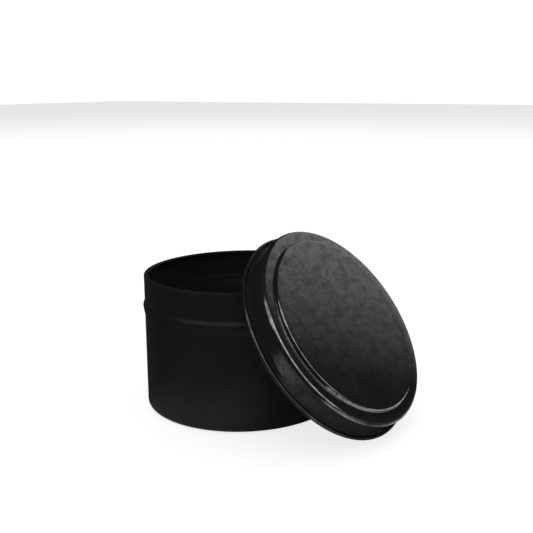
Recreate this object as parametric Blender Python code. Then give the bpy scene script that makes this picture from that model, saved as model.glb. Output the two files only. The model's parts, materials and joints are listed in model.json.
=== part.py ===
"""Candle tin: a seamless drawn tin with a rolled rim and a stop bead, and its slip lid leaning on the rim.

Metres, +Z up. The origin is the centre of the tin's base, on the surface it stands on.
The lid stands on its curled edge at the tin's +X side, with its open side towards the tin.
"""

from math import cos, pi, radians, sin

import bmesh
import bpy
from mathutils import Matrix, Vector

# Driving dimensions
TINPLATE = 0.00025
TURNS = 48

TIN_RADIUS = 0.0385
TIN_HEIGHT = 0.0521
RIM_ROLL_WIDTH = 0.00172
RIM_ROLL_HEIGHT = 0.00120
BASE_CORNER_RADIUS = 0.0026
BASE_BEAD_RADIUS = 0.0270
BASE_BEAD_WIDTH = 0.0060
BASE_BEAD_HEIGHT = 0.0008
STOP_BEAD_HEIGHT = 0.0399
STOP_BEAD_PROUD = 0.0006
STOP_BEAD_TOP_FLANK = 0.0020
STOP_BEAD_LOWER_FLANK = 0.0036

LID_RADIUS = 0.0394
LID_DEPTH = 0.0095
LID_SHOULDER_RADIUS = 0.0015
LID_PANEL_RADIUS = 0.0337
LID_STEP_WIDTH = 0.0012
LID_PANEL_RISE = 0.0013
LID_FLARE_HEIGHT = 0.0036
LID_CURL_REACH = 0.0017
LID_CURL_WIDTH = 0.00115
LID_CURL_HEIGHT = 0.00126

# The lid's lean: the centre of its open edge, and how far its axis tips from upright towards +X
LID_CENTRE_X = 0.0409
LID_CENTRE_Y = -0.0035
LID_CLEAR_OF_GROUND = 0.00005
LID_LEAN = radians(53.3)


def arc(centre_r, centre_z, half_width, half_height, start, end, steps):
    """Points on an ellipse's arc, from the start angle to the end angle in degrees."""
    points = []
    for i in range(steps + 1):
        angle = radians(start + (end - start) * i / steps)
        points.append((centre_r + half_width * cos(angle), centre_z + half_height * sin(angle)))
    return points


def swell(position, reach):
    """A smooth hump: 1 at the middle, falling to 0 at the distance reach."""
    return 0.5 * (1 + cos(pi * min(1.0, abs(position) / reach)))


def tin_path():
    """The middle of the tin's sheet, from the base's centre out, up the wall and round the rim's roll."""
    half = TINPLATE / 2
    path = [(0.0, half)]
    for i in range(5):
        along = (i / 4 - 0.5) * BASE_BEAD_WIDTH
        lift = BASE_BEAD_HEIGHT * swell(along, BASE_BEAD_WIDTH / 2)
        path.append((BASE_BEAD_RADIUS + along, half + lift))
    corner = BASE_CORNER_RADIUS
    path += arc(TIN_RADIUS - corner, corner, corner - half, corner - half, -90, 0, 4)
    for step in (-1.0, -0.75, -0.5, -0.25, 0.0, 0.34, 0.67, 1.0):
        flank = STOP_BEAD_LOWER_FLANK if step < 0 else STOP_BEAD_TOP_FLANK
        out = STOP_BEAD_PROUD * swell(step, 1.0)
        path.append((TIN_RADIUS - half + out, STOP_BEAD_HEIGHT + step * flank))
    roll_r = RIM_ROLL_WIDTH / 2
    roll_z = RIM_ROLL_HEIGHT / 2
    path += arc(TIN_RADIUS - roll_r, TIN_HEIGHT - roll_z, roll_r - half, roll_z - half, 0, 290, 9)
    return path


def lid_path():
    """The middle of the lid's sheet, from the panel's centre out, down the skirt and round the curl."""
    half = TINPLATE / 2
    ring = LID_DEPTH - half
    path = [(0.0, ring + LID_PANEL_RISE)]
    for i in range(5):
        drop = 0.5 * (1 - cos(pi * i / 4))
        path.append((LID_PANEL_RADIUS + LID_STEP_WIDTH * i / 4, ring + LID_PANEL_RISE * (1 - drop)))
    bend = LID_SHOULDER_RADIUS
    path += arc(LID_RADIUS - bend, LID_DEPTH - bend, bend - half, bend - half, 90, 0, 4)
    flare = LID_CURL_REACH - LID_CURL_WIDTH
    roll_r = LID_CURL_WIDTH / 2
    roll_z = LID_CURL_HEIGHT / 2
    for share in (0.0, 0.25, 0.5, 0.75):
        out = flare * (1 - swell(share, 1.0))
        path.append((LID_RADIUS - half + out, LID_FLARE_HEIGHT + (roll_z - LID_FLARE_HEIGHT) * share))
    path += arc(LID_RADIUS - half + flare + roll_r, roll_z, roll_r, roll_z - half, 180, 450, 8)
    return path


def sheet_outline(path):
    """The two faces of a sheet of TINPLATE thickness along a path, joined at the path's free end."""
    outer = []
    inner = []
    for i, point in enumerate(path):
        before = Vector(path[max(i - 1, 0)])
        after = Vector(path[min(i + 1, len(path) - 1)])
        here = Vector(point)
        into = (here - before).normalized() if i else (after - here).normalized()
        out_of = (after - here).normalized() if i < len(path) - 1 else into
        along = (into + out_of).normalized()
        normal = Vector((along.y, -along.x))
        offset = normal * (TINPLATE / 2 / along.dot(into))
        outer.append(here + offset)
        inner.append(here - offset)
    outer[0].x = inner[0].x = 0.0
    return outer + inner[::-1]


def turned(name, outline, material):
    """A solid of revolution about local Z from an outline whose two ends are on the axis."""
    mesh = bpy.data.meshes.new(name)
    work = bmesh.new()
    points = [work.verts.new((point.x, 0.0, point.y)) for point in outline]
    edges = [work.edges.new(pair) for pair in zip(points, points[1:])]
    bmesh.ops.spin(
        work,
        geom=points + edges,
        cent=(0, 0, 0),
        axis=(0, 0, 1),
        angle=2 * pi,
        steps=TURNS,
        use_duplicate=False,
    )
    bmesh.ops.remove_doubles(work, verts=work.verts, dist=0.000001)
    bmesh.ops.recalc_face_normals(work, faces=work.faces)
    work.to_mesh(mesh)
    work.free()
    mesh.materials.append(material)
    mesh.shade_smooth()
    mesh.set_sharp_from_angle(angle=radians(40))
    solid = bpy.data.objects.new(name, mesh)
    bpy.context.scene.collection.objects.link(solid)
    return solid


def painted_metal(name, colour, roughness):
    material = bpy.data.materials.new(name)
    material.use_nodes = True
    shader = material.node_tree.nodes["Principled BSDF"]
    shader.inputs["Base Color"].default_value = (*colour, 1.0)
    shader.inputs["Roughness"].default_value = roughness
    shader.inputs["Metallic"].default_value = 0.0
    return material


def clear_scene():
    for leftover in list(bpy.data.objects):
        bpy.data.objects.remove(leftover, do_unlink=True)


def build_tin():
    black = painted_metal("tin_black", (0.010, 0.010, 0.011), 0.42)
    return turned("tin_body", sheet_outline(tin_path()), black)


def build_lid():
    black = painted_metal("lid_black", (0.014, 0.014, 0.015), 0.34)
    lid = turned("slip_lid", sheet_outline(lid_path()), black)
    # The curl is an elliptical ring: its lowest point sets the height of the lid's centre.
    roll_r = (LID_CURL_WIDTH + TINPLATE) / 2
    roll_z = LID_CURL_HEIGHT / 2
    ring_r = LID_RADIUS + LID_CURL_REACH - roll_r
    reach = ((roll_r * sin(LID_LEAN)) ** 2 + (roll_z * cos(LID_LEAN)) ** 2) ** 0.5
    height = ring_r * sin(LID_LEAN) - roll_z * cos(LID_LEAN) + reach + LID_CLEAR_OF_GROUND
    place = Matrix.Translation((LID_CENTRE_X, LID_CENTRE_Y, height))
    lid.matrix_world = place @ Matrix.Rotation(LID_LEAN, 4, "Y")
    return lid


clear_scene()
build_tin()
build_lid()
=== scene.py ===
"""Looks for the candle tin: a black-painted drawn tin, and its slip lid leaning open against the rim.

Both visible pieces are turned here as fine sheet-metal shells in the places of the CAD nodes.
Metres, +Z up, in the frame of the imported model, with angles in degrees.
"""

import json
from math import cos, pi, radians, sin, sqrt, tan

import bpy
import numpy as np
from mathutils import Matrix, Quaternion, Vector


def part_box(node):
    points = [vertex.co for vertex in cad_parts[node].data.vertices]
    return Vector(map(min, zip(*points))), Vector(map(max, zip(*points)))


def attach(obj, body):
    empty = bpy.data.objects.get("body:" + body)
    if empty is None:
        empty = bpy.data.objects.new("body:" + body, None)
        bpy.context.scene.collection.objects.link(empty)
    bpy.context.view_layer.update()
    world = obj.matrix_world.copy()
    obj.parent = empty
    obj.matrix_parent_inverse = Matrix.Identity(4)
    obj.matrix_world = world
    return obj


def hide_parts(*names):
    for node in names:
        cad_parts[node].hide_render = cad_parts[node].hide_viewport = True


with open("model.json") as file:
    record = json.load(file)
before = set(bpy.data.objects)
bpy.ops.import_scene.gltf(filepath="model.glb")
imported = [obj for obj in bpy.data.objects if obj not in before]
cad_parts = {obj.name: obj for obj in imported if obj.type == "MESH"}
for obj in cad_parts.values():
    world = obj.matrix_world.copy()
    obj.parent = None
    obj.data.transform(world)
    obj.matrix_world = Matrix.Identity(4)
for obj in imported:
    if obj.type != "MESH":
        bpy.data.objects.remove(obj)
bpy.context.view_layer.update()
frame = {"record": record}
mounts = {mount["name"]: mount for mount in frame["record"]["mounts"]}

# Sheet metal: its thickness, and the facets round each turned piece
TINPLATE = 0.00025
TURNS = 288

# The tin; its height and radius come from the CAD node, and the stop bead's rounding is a share of its flank
STOP_BEAD_PROUD = 0.0006
STOP_BEAD_HEIGHT = 0.0399
STOP_BEAD_TOP_FLANK = 0.0020
STOP_BEAD_LOWER_FLANK = 0.0036
STOP_BEAD_ROUNDING = 0.2
TIN_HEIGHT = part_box("tin_body")[1].z
TIN_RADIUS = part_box("tin_body")[1].x - STOP_BEAD_PROUD
RIM_ROLL_WIDTH = 0.00172
RIM_ROLL_HEIGHT = 0.00120
RIM_ROLL_TURN = 290
BASE_CORNER_RADIUS = 0.0021
BASE_BEAD_RADIUS = 0.0270
BASE_BEAD_WIDTH = 0.0060
BASE_BEAD_HEIGHT = 0.0008

# The lid, in its own frame: Z up through the panel from the plane of the open edge
LID_CURL_REACH = 0.0017
LID_CURL_WIDTH = 0.00115
LID_CURL_HEIGHT = 0.00126
LID_CURL_TURN = 270
LID_FLARE_HEIGHT = 0.0036
LID_RADIUS = (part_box("slip_lid")[1].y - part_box("slip_lid")[0].y) / 2 - LID_CURL_REACH
LID_DEPTH = 0.0095
LID_SHOULDER_RADIUS = 0.0015
LID_PANEL_RADIUS = 0.0337
LID_STEP_SLOPE = 68
LID_STEP_TOP_BEND = 0.0006
LID_STEP_FOOT_BEND = 0.00032
LID_PANEL_RISE = 0.0013
LID_RING_FALL = 3
LID_AXIS = Vector(mounts["lid_panel"]["axis"]).normalized()
LID_PANEL = Vector(mounts["lid_panel"]["pos_m"])
LID_CENTRE = LID_PANEL - LID_AXIS * (LID_DEPTH + LID_PANEL_RISE)

# Rubbing: how rubbed the rim and the curl are, from 0 to 1; the distances beyond the lid's radius over
# which the curl's rubbing and the shoulder's set in; and the shares of that radius, towards the table, over
# which the rubbing of the side that the lid stands on sets in
RIM_RUBBED = 0.7
CURL_RUBBED = 0.65
CURL_RUB_SPAN = (0.0, 0.0006)
SHOULDER_RUB_SPAN = (-0.0024, -0.0016)
STANDING_SPAN = (0.70, 0.86)

# Camera: angles in degrees, the point that it turns about and its distance, its lens in mm and its shift
VIEW_AZIMUTH = 32.47
VIEW_ELEVATION = 9.79
VIEW_ROLL = -0.376
VIEW_AIM = Vector((0.01296, 0.02200, 0.06724))
VIEW_DISTANCE = 0.34026
VIEW_LENS = 56.656
VIEW_SHIFT = (-0.0629, -0.0760)

# Paint: the scales of its clouds, broad changes, grain and specks, how the clouds are drawn out, and the
# spans of a noise's value that are spread over a feature's whole range
CLOUD_SCALE = 330
CLOUD_STRETCH = (1, 0.65, 1)
BROAD_SCALE = 60
FINE_SCALE = 1400
SPECK_SCALE = 520
NOISE_SPAN = (0.3, 0.7)
CLOUD_SPAN = (0.4, 0.6)

# Specks: the span of chance over which a cell comes to have one, and, in shares of a cell, how far from its
# middle it fades out and how ragged that edge is
SPECK_CHANCE = (0.24, 0.36)
SPECK_EDGE = (0.08, 0.28)
SPECK_RAGGED = 0.12

# How much each feature changes the paint: its blue against its red, its roughness, and the height of its
# orange peel in metres, with the grain and the specks' pits as shares of that
BLUE_TINT = 1.03
BROAD_ROUGHNESS = 0.02
FINE_ROUGHNESS = 0.01
SPECK_ROUGHNESS = 0.1
ORANGE_PEEL = 0.000001
PEEL_GRAIN = 0.15
PEEL_PIT = 0.3

# How much paler and duller rubbed paint is, and the name of the value at each vertex that says how rubbed
# it is there
RUB_PALER = 0.35
RUB_DULLER = 0.98
RUBBING = "rubbing"

# Studio: the strength of the white background, the part of the back light's width over which it fades in, and
# the floor's glow, its half width and the gap above it
ROOM_LIGHT = 1.1
BACK_FADE = (0.056, 0.29)
FLOOR_GLOW = 0.78
FLOOR_REACH = 4.0
FLOOR_GAP = 0.00004


# ---------------------------------------------------------------- outlines

def arc(centre_r, centre_z, half_width, half_height, start, end, steps):
    """Points on an ellipse's arc, from the start angle to the end angle in degrees."""
    angles = np.radians(np.linspace(start, end, steps + 1))
    return [(centre_r + half_width * cos(a), centre_z + half_height * sin(a)) for a in angles]


def straight(start, end, steps):
    """Evenly spaced points strictly between two points."""
    shares = np.linspace(0, 1, steps + 2)[1:-1]
    return [tuple(Vector(start).lerp(Vector(end), share)) for share in shares]


def swell(position, reach):
    """A smooth hump: 1 at the middle, falling to 0 at the distance reach."""
    return 0.5 * (1 + cos(pi * min(1.0, abs(position) / reach)))


def ramp_up(position, rounding):
    """A straight climb from 0 at -1 to 1 at 0, rounded near the top."""
    return 1 - (sqrt(position**2 + rounding**2) - rounding) / (sqrt(1 + rounding**2) - rounding)


def tin_path():
    """The middle of the tin's sheet, from the base's centre out, up the wall and round the rim's roll."""
    half = TINPLATE / 2
    path = [(0.0, half)]
    path += straight((0.0, half), (BASE_BEAD_RADIUS - BASE_BEAD_WIDTH / 2, half), 12)
    for along in np.linspace(-0.5, 0.5, 17) * BASE_BEAD_WIDTH:
        lift = BASE_BEAD_HEIGHT * swell(along, BASE_BEAD_WIDTH / 2)
        path.append((BASE_BEAD_RADIUS + along, half + lift))
    corner = BASE_CORNER_RADIUS
    path += straight(path[-1], (TIN_RADIUS - corner, half), 3)
    path += arc(TIN_RADIUS - corner, corner, corner - half, corner - half, -90, 0, 14)
    bead_foot = (TIN_RADIUS - half, STOP_BEAD_HEIGHT - STOP_BEAD_LOWER_FLANK)
    path += straight(path[-1], bead_foot, 18)
    for step in np.linspace(-1, 1, 33):
        flank = STOP_BEAD_LOWER_FLANK if step < 0 else STOP_BEAD_TOP_FLANK
        share = ramp_up(step, STOP_BEAD_ROUNDING) if step < 0 else swell(step, 1.0)
        path.append((TIN_RADIUS - half + STOP_BEAD_PROUD * share, STOP_BEAD_HEIGHT + step * flank))
    roll_r = RIM_ROLL_WIDTH / 2
    roll_z = RIM_ROLL_HEIGHT / 2
    path += straight(path[-1], (TIN_RADIUS - half, TIN_HEIGHT - roll_z), 8)
    centre = (TIN_RADIUS - roll_r, TIN_HEIGHT - roll_z)
    path += arc(*centre, roll_r - half, roll_z - half, 0, RIM_ROLL_TURN, 26)
    return path


def lid_path():
    """The middle of the lid's sheet, from the panel's centre out, down the skirt and round the curl."""
    half = TINPLATE / 2
    ring = LID_DEPTH - half
    panel = ring + LID_PANEL_RISE
    path = [(0.0, panel)]
    path += straight(path[0], (LID_PANEL_RADIUS, panel), 24)
    # The step: a bend down out of the panel, a steep riser and a bend out into the ring
    slope = radians(LID_STEP_SLOPE)
    bends = LID_STEP_TOP_BEND + LID_STEP_FOOT_BEND
    riser = (LID_PANEL_RISE - bends * (1 - cos(slope))) / sin(slope)
    foot = LID_PANEL_RADIUS + bends * sin(slope) + riser * cos(slope)
    bend = LID_STEP_TOP_BEND
    path += arc(LID_PANEL_RADIUS, panel - bend, bend, bend, 90, 90 - LID_STEP_SLOPE, 10)
    bend = LID_STEP_FOOT_BEND
    lower_bend = arc(foot, ring + bend, bend, bend, 270 - LID_STEP_SLOPE, 270, 8)
    path += straight(path[-1], lower_bend[0], 5) + lower_bend
    # The ring: falling a little more steeply the further out, then the shoulder
    crown = radians(LID_RING_FALL)
    bend = LID_SHOULDER_RADIUS
    ring_end = LID_RADIUS - half - (bend - half) * (1 - sin(crown))
    drop = (ring_end - foot) * tan(crown) / 2
    for share in np.linspace(0, 1, 9)[1:]:
        path.append((foot + (ring_end - foot) * share, ring - drop * share**2))
    centre_z = ring - drop - (bend - half) * cos(crown)
    path += arc(LID_RADIUS - bend, centre_z, bend - half, bend - half, 90 - LID_RING_FALL, 0, 16)[1:]
    # The skirt, flared a little above the curl, and the curl
    skirt = LID_RADIUS - half
    path += straight(path[-1], (skirt, LID_FLARE_HEIGHT), 8) + [(skirt, LID_FLARE_HEIGHT)]
    flare = LID_CURL_REACH - LID_CURL_WIDTH
    roll_r = LID_CURL_WIDTH / 2
    roll_z = LID_CURL_HEIGHT / 2
    for share in np.linspace(0, 1, 11)[1:-1]:
        out = flare * (1 - swell(share, 1.0))
        path.append((skirt + out, LID_FLARE_HEIGHT + (roll_z - LID_FLARE_HEIGHT) * share))
    path += arc(skirt + flare + roll_r, roll_z, roll_r, roll_z - half, 180, 180 + LID_CURL_TURN, 26)
    return path


def sheet_outline(path):
    """The two faces of a sheet of TINPLATE thickness along a path, with a rounded free end."""
    here = np.array(path)
    tangent = np.gradient(here, axis=0)
    tangent /= np.linalg.norm(tangent, axis=1)[:, None]
    normal = np.stack([tangent[:, 1], -tangent[:, 0]], axis=1)
    outer = here + normal * TINPLATE / 2
    inner = here - normal * TINPLATE / 2
    outer[0, 0] = inner[0, 0] = 0.0
    angles = np.radians(np.linspace(-90, 90, 7))[1:-1]
    tip = [here[-1] + TINPLATE / 2 * (cos(a) * tangent[-1] - sin(a) * normal[-1]) for a in angles]
    return np.concatenate([outer, tip, inner[::-1]])


# ---------------------------------------------------------------- pieces

def turned(name, outline, worn):
    """A solid of revolution about local Z, of quads with a fan at each end of the outline.

    worn gives how rubbed the paint is, 0 to 1, at a point; the result is kept at every vertex.
    """
    around = np.linspace(0, 2 * pi, TURNS, endpoint=False)
    rings = outline[1:-1]
    ring_points = [(r * cos(a), r * sin(a), z) for r, z in rings for a in around]
    last = len(ring_points)
    points = ring_points + [(0, 0, outline[0][1]), (0, 0, outline[-1][1])]
    faces = []
    for row in range(len(rings) - 1):
        for col in range(TURNS):
            beside = (col + 1) % TURNS
            low, high = row * TURNS, (row + 1) * TURNS
            faces.append((low + col, low + beside, high + beside, high + col))
    top = (len(rings) - 1) * TURNS
    for col in range(TURNS):
        beside = (col + 1) % TURNS
        faces.append((last, beside, col))
        faces.append((last + 1, top + col, top + beside))
    mesh = bpy.data.meshes.new(name)
    mesh.from_pydata(points, [], faces)
    mesh.validate()
    mesh.shade_smooth()
    rubbing = mesh.attributes.new(RUBBING, "FLOAT", "POINT")
    rubbing.data.foreach_set("value", [worn(Vector(point)) for point in points])
    piece = bpy.data.objects.new(name, mesh)
    bpy.context.scene.collection.objects.link(piece)
    return piece


# ---------------------------------------------------------------- materials

def black_paint(name, tone, roughness, gloss, mottle, blemish):
    """Baked black enamel on tinplate, near black, with an uneven gloss.

    tone is its colour and gloss the strength of its reflections. mottle is how much the gloss varies in
    clouds, and blemish how dark its small dull specks are. Rubbed edges are a little paler and much duller.
    """
    material = bpy.data.materials.new(name)
    material.use_nodes = True
    nodes, links = material.node_tree.nodes, material.node_tree.links
    shader = nodes["Principled BSDF"]
    place = nodes.new("ShaderNodeTexCoord")

    def feed(socket, value):
        if isinstance(value, (int, float)):
            socket.default_value = value
        else:
            links.new(value, socket)

    def noise(scale, detail, rough=0.55, stretch=(1, 1, 1)):
        squash = nodes.new("ShaderNodeMapping")
        squash.inputs["Scale"].default_value = stretch
        links.new(place.outputs["Object"], squash.inputs["Vector"])
        node = nodes.new("ShaderNodeTexNoise")
        node.inputs["Scale"].default_value = scale
        node.inputs["Detail"].default_value = detail
        node.inputs["Roughness"].default_value = rough
        links.new(squash.outputs["Vector"], node.inputs["Vector"])
        return node.outputs["Fac"]

    def remap(source, low, high, to_low, to_high):
        node = nodes.new("ShaderNodeMapRange")
        for slot, value in zip(("From Min", "From Max", "To Min", "To Max"), (low, high, to_low, to_high)):
            node.inputs[slot].default_value = value
        links.new(source, node.inputs["Value"])
        return node.outputs["Result"]

    def math(operation, first, second):
        node = nodes.new("ShaderNodeMath")
        node.operation = operation
        feed(node.inputs[0], first)
        feed(node.inputs[1], second)
        return node.outputs["Value"]

    def all_but(factor):
        return math("SUBTRACT", 1.0, factor)

    # Three noises: clouds a few millimetres across, broader changes, and a fine grain
    cloud = noise(CLOUD_SCALE, detail=6, rough=0.66, stretch=CLOUD_STRETCH)
    broad = noise(BROAD_SCALE, detail=2)
    fine = noise(FINE_SCALE, detail=3)

    # Specks: ragged dots in a few of the cells, which chance and the broad noise choose
    cells = nodes.new("ShaderNodeTexVoronoi")
    cells.inputs["Scale"].default_value = SPECK_SCALE
    links.new(place.outputs["Object"], cells.inputs["Vector"])
    chance = nodes.new("ShaderNodeSeparateColor")
    links.new(cells.outputs["Color"], chance.inputs["Color"])
    chosen = remap(math("MULTIPLY", chance.outputs["Red"], broad), *SPECK_CHANCE, 0.0, 1.0)
    nibble = remap(fine, *NOISE_SPAN, -SPECK_RAGGED, SPECK_RAGGED)
    ragged = math("ADD", cells.outputs["Distance"], nibble)
    speck = math("MULTIPLY", remap(ragged, *SPECK_EDGE, 1.0, 0.0), chosen)

    # Rubbing, from the mesh, with the clouds breaking it up
    worn = nodes.new("ShaderNodeAttribute")
    worn.attribute_name = RUBBING
    rub = math("MULTIPLY", worn.outputs["Fac"], remap(cloud, *CLOUD_SPAN, 0.9, 1.0))

    # Colour: the tone varies in clouds, darker in the specks and paler where it is rubbed
    value = math("MULTIPLY", remap(cloud, *NOISE_SPAN, 1 - mottle / 3, 1 + mottle / 3), tone)
    value = math("MULTIPLY", value, all_but(math("MULTIPLY", speck, blemish / 2)))
    value = math("ADD", value, math("MULTIPLY", rub, tone * RUB_PALER))
    tint = nodes.new("ShaderNodeCombineColor")
    links.new(value, tint.inputs["Red"])
    links.new(value, tint.inputs["Green"])
    links.new(math("MULTIPLY", value, BLUE_TINT), tint.inputs["Blue"])
    links.new(tint.outputs["Color"], shader.inputs["Base Color"])

    # Gloss: its strength varies in clouds, and falls in the specks and where it is rubbed
    sheen = remap(cloud, *CLOUD_SPAN, gloss * (1 - mottle), gloss * (1 + mottle))
    sheen = math("MULTIPLY", sheen, all_but(math("MULTIPLY", rub, RUB_DULLER)))
    sheen = math("MULTIPLY", sheen, all_but(math("MULTIPLY", speck, blemish)))
    links.new(sheen, shader.inputs["Specular IOR Level"])
    coarse = remap(broad, *NOISE_SPAN, roughness - BROAD_ROUGHNESS, roughness + BROAD_ROUGHNESS)
    grain = remap(fine, *NOISE_SPAN, -FINE_ROUGHNESS, FINE_ROUGHNESS)
    blur = math("ADD", math("ADD", coarse, grain), math("MULTIPLY", speck, SPECK_ROUGHNESS))
    links.new(blur, shader.inputs["Roughness"])

    # Bump: orange peel with the grain on it, and a pit at each speck
    bump = nodes.new("ShaderNodeBump")
    bump.inputs["Strength"].default_value = 1.0
    bump.inputs["Distance"].default_value = ORANGE_PEEL
    peel = math("ADD", cloud, math("MULTIPLY", fine, PEEL_GRAIN))
    links.new(math("SUBTRACT", peel, math("MULTIPLY", speck, PEEL_PIT)), bump.inputs["Height"])
    links.new(bump.outputs["Normal"], shader.inputs["Normal"])
    return material


# ---------------------------------------------------------------- the object

def rise(value, start, end):
    """0 up to the start, 1 from the end on, and a straight line between."""
    return min(1.0, max(0.0, (value - start) / (end - start)))


def tin_wear(point):
    """The tin's rolled rim is rubbed, most at its top."""
    return RIM_RUBBED * rise(point.z, TIN_HEIGHT - RIM_ROLL_HEIGHT, TIN_HEIGHT)


def lid_wear(point):
    """The lid's curl is rubbed all round, and its skirt and shoulder on the side that it stands on."""
    beyond = point.xy.length - LID_RADIUS
    curl = CURL_RUBBED * rise(beyond, *CURL_RUB_SPAN)
    outside = rise(beyond, *SHOULDER_RUB_SPAN)
    return max(curl, outside * rise(point.x / LID_RADIUS, *STANDING_SPAN))


def build_tin():
    tin = turned("tin", sheet_outline(tin_path()), tin_wear)
    paint = black_paint("tin_enamel", tone=0.0086, roughness=0.38, gloss=0.12, mottle=0.08, blemish=0.1)
    tin.data.materials.append(paint)
    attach(tin, "tin")
    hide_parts("tin_body")
    return tin


def build_lid():
    lid = turned("lid", sheet_outline(lid_path()), lid_wear)
    paint = black_paint("lid_enamel", tone=0.0098, roughness=0.13, gloss=0.5, mottle=0.38, blemish=0.8)
    lid.data.materials.append(paint)
    lean = Vector((0, 0, 1)).rotation_difference(LID_AXIS)
    lid.data.transform(Matrix.Translation(LID_CENTRE) @ lean.to_matrix().to_4x4())
    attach(lid, "lid")
    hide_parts("slip_lid")
    return lid


# ---------------------------------------------------------------- the studio

def build_floor():
    """A pale floor that glows a little, so that it stays plain. It doesn't show in the gloss."""
    material = bpy.data.materials.new("floor_white")
    material.use_nodes = True
    shader = material.node_tree.nodes["Principled BSDF"]
    shader.inputs["Base Color"].default_value = (0.3, 0.3, 0.3, 1.0)
    shader.inputs["Roughness"].default_value = 0.9
    shader.inputs["Specular IOR Level"].default_value = 0.0
    shader.inputs["Emission Color"].default_value = (1, 1, 1, 1)
    shader.inputs["Emission Strength"].default_value = FLOOR_GLOW
    mesh = bpy.data.meshes.new("floor")
    corners = [(-1, -1), (1, -1), (1, 1), (-1, 1)]
    points = [(x * FLOOR_REACH, y * FLOOR_REACH, -FLOOR_GAP) for x, y in corners]
    mesh.from_pydata(points, [], [(0, 1, 2, 3)])
    floor = bpy.data.objects.new("floor", mesh)
    bpy.context.scene.collection.objects.link(floor)
    mesh.materials.append(material)
    floor.visible_glossy = False
    floor.visible_shadow = False


def bearing(azimuth, elevation):
    """The unit vector towards a place in the studio: azimuth 0 is -Y and 90 is +X, in degrees."""
    a, e = radians(azimuth), radians(elevation)
    return Vector((sin(a) * cos(e), -cos(a) * cos(e), sin(e)))


def rectangle_light(name, size, brightness):
    """A rectangular light of one brightness all over, which shows only in the gloss."""
    data = bpy.data.lights.new(name, "AREA")
    data.shape = "RECTANGLE"
    data.size, data.size_y = size
    data.energy = brightness * pi * data.size * data.size_y
    lamp = bpy.data.objects.new(name, data)
    lamp.visible_diffuse = False
    bpy.context.scene.collection.objects.link(lamp)
    return lamp


def softbox(name, at, spread, brightness, aim, roll=0):
    """A light 1 m from the point that it aims at.

    at is its azimuth and elevation seen from there, and spread its width and height, all in degrees.
    """
    lamp = rectangle_light(name, [2 * tan(radians(angle) / 2) for angle in spread], brightness)
    away = bearing(*at)
    lamp.location = aim + away
    lamp.rotation_mode = "QUATERNION"
    lamp.rotation_quaternion = away.to_track_quat("Z", "Y") @ Quaternion((0, 0, 1), radians(roll))
    return lamp


def table_glow(name, centre, size, brightness, height=0.0):
    """Light bounced up from a patch of the table, or of the tin's floor."""
    lamp = rectangle_light(name, size, brightness)
    lamp.location = (*centre, height)
    lamp.rotation_euler = (pi, 0, 0)
    return lamp


def fade(lamp, axis, start, end, curve="LINEAR"):
    """Node output for a light's strength along one side: nothing at the share start and full at end."""
    tree = lamp.data.node_tree
    place = tree.nodes.new("ShaderNodeNewGeometry")
    split = tree.nodes.new("ShaderNodeSeparateXYZ")
    ramp = tree.nodes.new("ShaderNodeMapRange")
    ramp.interpolation_type = curve
    ramp.inputs["From Min"].default_value = start
    ramp.inputs["From Max"].default_value = end
    tree.links.new(place.outputs["Parametric"], split.inputs[0])
    tree.links.new(split.outputs[axis], ramp.inputs["Value"])
    return ramp.outputs["Result"]


def shaded(lamp, *fades):
    """Multiplies a light's strength by fades, each given as the rest of fade's arguments."""
    lamp.data.use_nodes = True
    tree = lamp.data.node_tree
    strength = fade(lamp, *fades[0])
    for further in fades[1:]:
        product = tree.nodes.new("ShaderNodeMath")
        product.operation = "MULTIPLY"
        tree.links.new(strength, product.inputs[0])
        tree.links.new(fade(lamp, *further), product.inputs[1])
        strength = product.outputs["Value"]
    tree.links.new(strength, tree.nodes["Emission"].inputs["Strength"])


def softened(lamp):
    """Fades a light out from its middle to all four edges."""
    low_edges = [(axis, 0.0, 0.5) for axis in "XY"]
    high_edges = [(axis, 1.0, 0.5, "SMOOTHSTEP") for axis in "XY"]
    shaded(lamp, *low_edges, *high_edges)


def only_on(piece, *lamps):
    """Makes lamps light one piece and nothing else."""
    lit = bpy.data.collections.new(piece.name + "_lit")
    lit.objects.link(piece)
    for lamp in lamps:
        lamp.light_linking.receiver_collection = lit


def build_world():
    world = bpy.data.worlds.new("studio")
    bpy.context.scene.world = world
    world.use_nodes = True
    background = world.node_tree.nodes["Background"]
    background.inputs["Color"].default_value = (1, 1, 1, 1)
    background.inputs["Strength"].default_value = ROOM_LIGHT
    world.cycles_visibility.diffuse = False
    world.cycles_visibility.glossy = False


def light_behind():
    """The pale room behind the object, which fades out across the lid's panel."""
    back = softbox("back_softbox", at=(172, 30), spread=(47.5, 38), brightness=1.2, aim=LID_PANEL, roll=8.5)
    shaded(back, ("X", *BACK_FADE))


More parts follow.
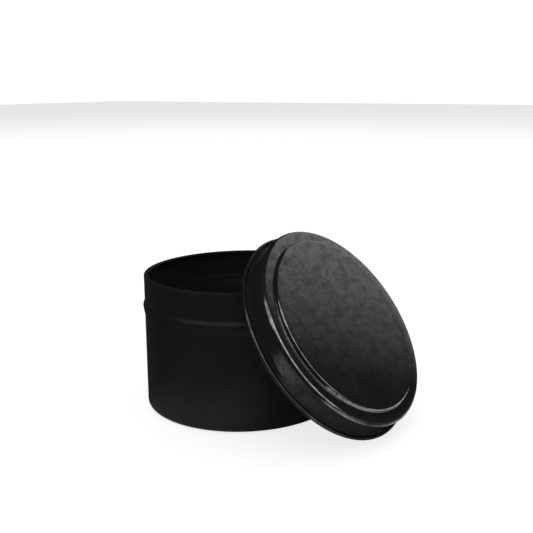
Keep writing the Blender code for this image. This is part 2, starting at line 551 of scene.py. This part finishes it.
def light_lid(lid):
    """The lid's own lights: the bright lines in its step, shoulder and skirt."""
    strip = softbox("strip_softbox", at=(41, 60), spread=(72, 27), brightness=5.5, aim=LID_PANEL)
    side = softbox("side_softbox", at=(93, 31), spread=(38, 50), brightness=5.5, aim=LID_PANEL, roll=22)
    near = table_glow("step_glow", centre=(0.076, -0.006), size=(0.011, 0.112), brightness=3.7)
    far = table_glow("side_glow", centre=(0.166, -0.006), size=(0.169, 0.112), brightness=1.7)
    front = table_glow("front_glow", centre=(0.005, -0.095), size=(0.19, 0.18), brightness=0.9)
    softened(front)
    only_on(lid, strip, side, near, far, front)


def light_beside():
    """A faint fill on the side away from the lid."""
    softbox("left_fill", at=(-110, -8), spread=(60, 40), brightness=0.05, aim=Vector((0, 0, 0.03)))


def light_tin(tin):
    """The tin's own lights: the sheen on its rim and bead, the glow low on its wall, and its inside."""
    rim = softbox("tin_softbox", at=(10, 28), spread=(80, 30), brightness=1.8, aim=Vector((0, 0, 0.04)))
    low = table_glow("tin_glow", centre=(0.014, -0.052), size=(0.13, 0.052), brightness=1.3)
    softened(low)
    inside = table_glow("inside_glow", centre=(0, 0), size=(0.05, 0.05), brightness=0.5, height=0.004)
    inside.visible_diffuse = True
    only_on(tin, rim, low, inside)


def light_above():
    """The broad lamp overhead, which lights the paint's colour and not its gloss."""
    overhead = softbox("overhead_softbox", at=(0, 90), spread=(120, 120), brightness=1.3, aim=Vector())
    overhead.visible_diffuse = True
    overhead.visible_glossy = False


def build_camera():
    away = bearing(VIEW_AZIMUTH, VIEW_ELEVATION)
    data = bpy.data.cameras.new("camera")
    data.lens = VIEW_LENS
    data.sensor_width = 36.0
    data.shift_x, data.shift_y = VIEW_SHIFT
    data.clip_start = 0.01
    camera = bpy.data.objects.new("camera", data)
    camera.rotation_mode = "QUATERNION"
    camera.rotation_quaternion = away.to_track_quat("Z", "Y") @ Quaternion((0, 0, 1), radians(VIEW_ROLL))
    camera.location = VIEW_AIM + away * VIEW_DISTANCE
    bpy.context.scene.collection.objects.link(camera)
    bpy.context.scene.camera = camera


build_camera()
tin = build_tin()
lid = build_lid()
build_floor()
build_world()
light_behind()
light_lid(lid)
light_beside()
light_tin(tin)
light_above()
bpy.context.scene.view_settings.view_transform = "Standard"
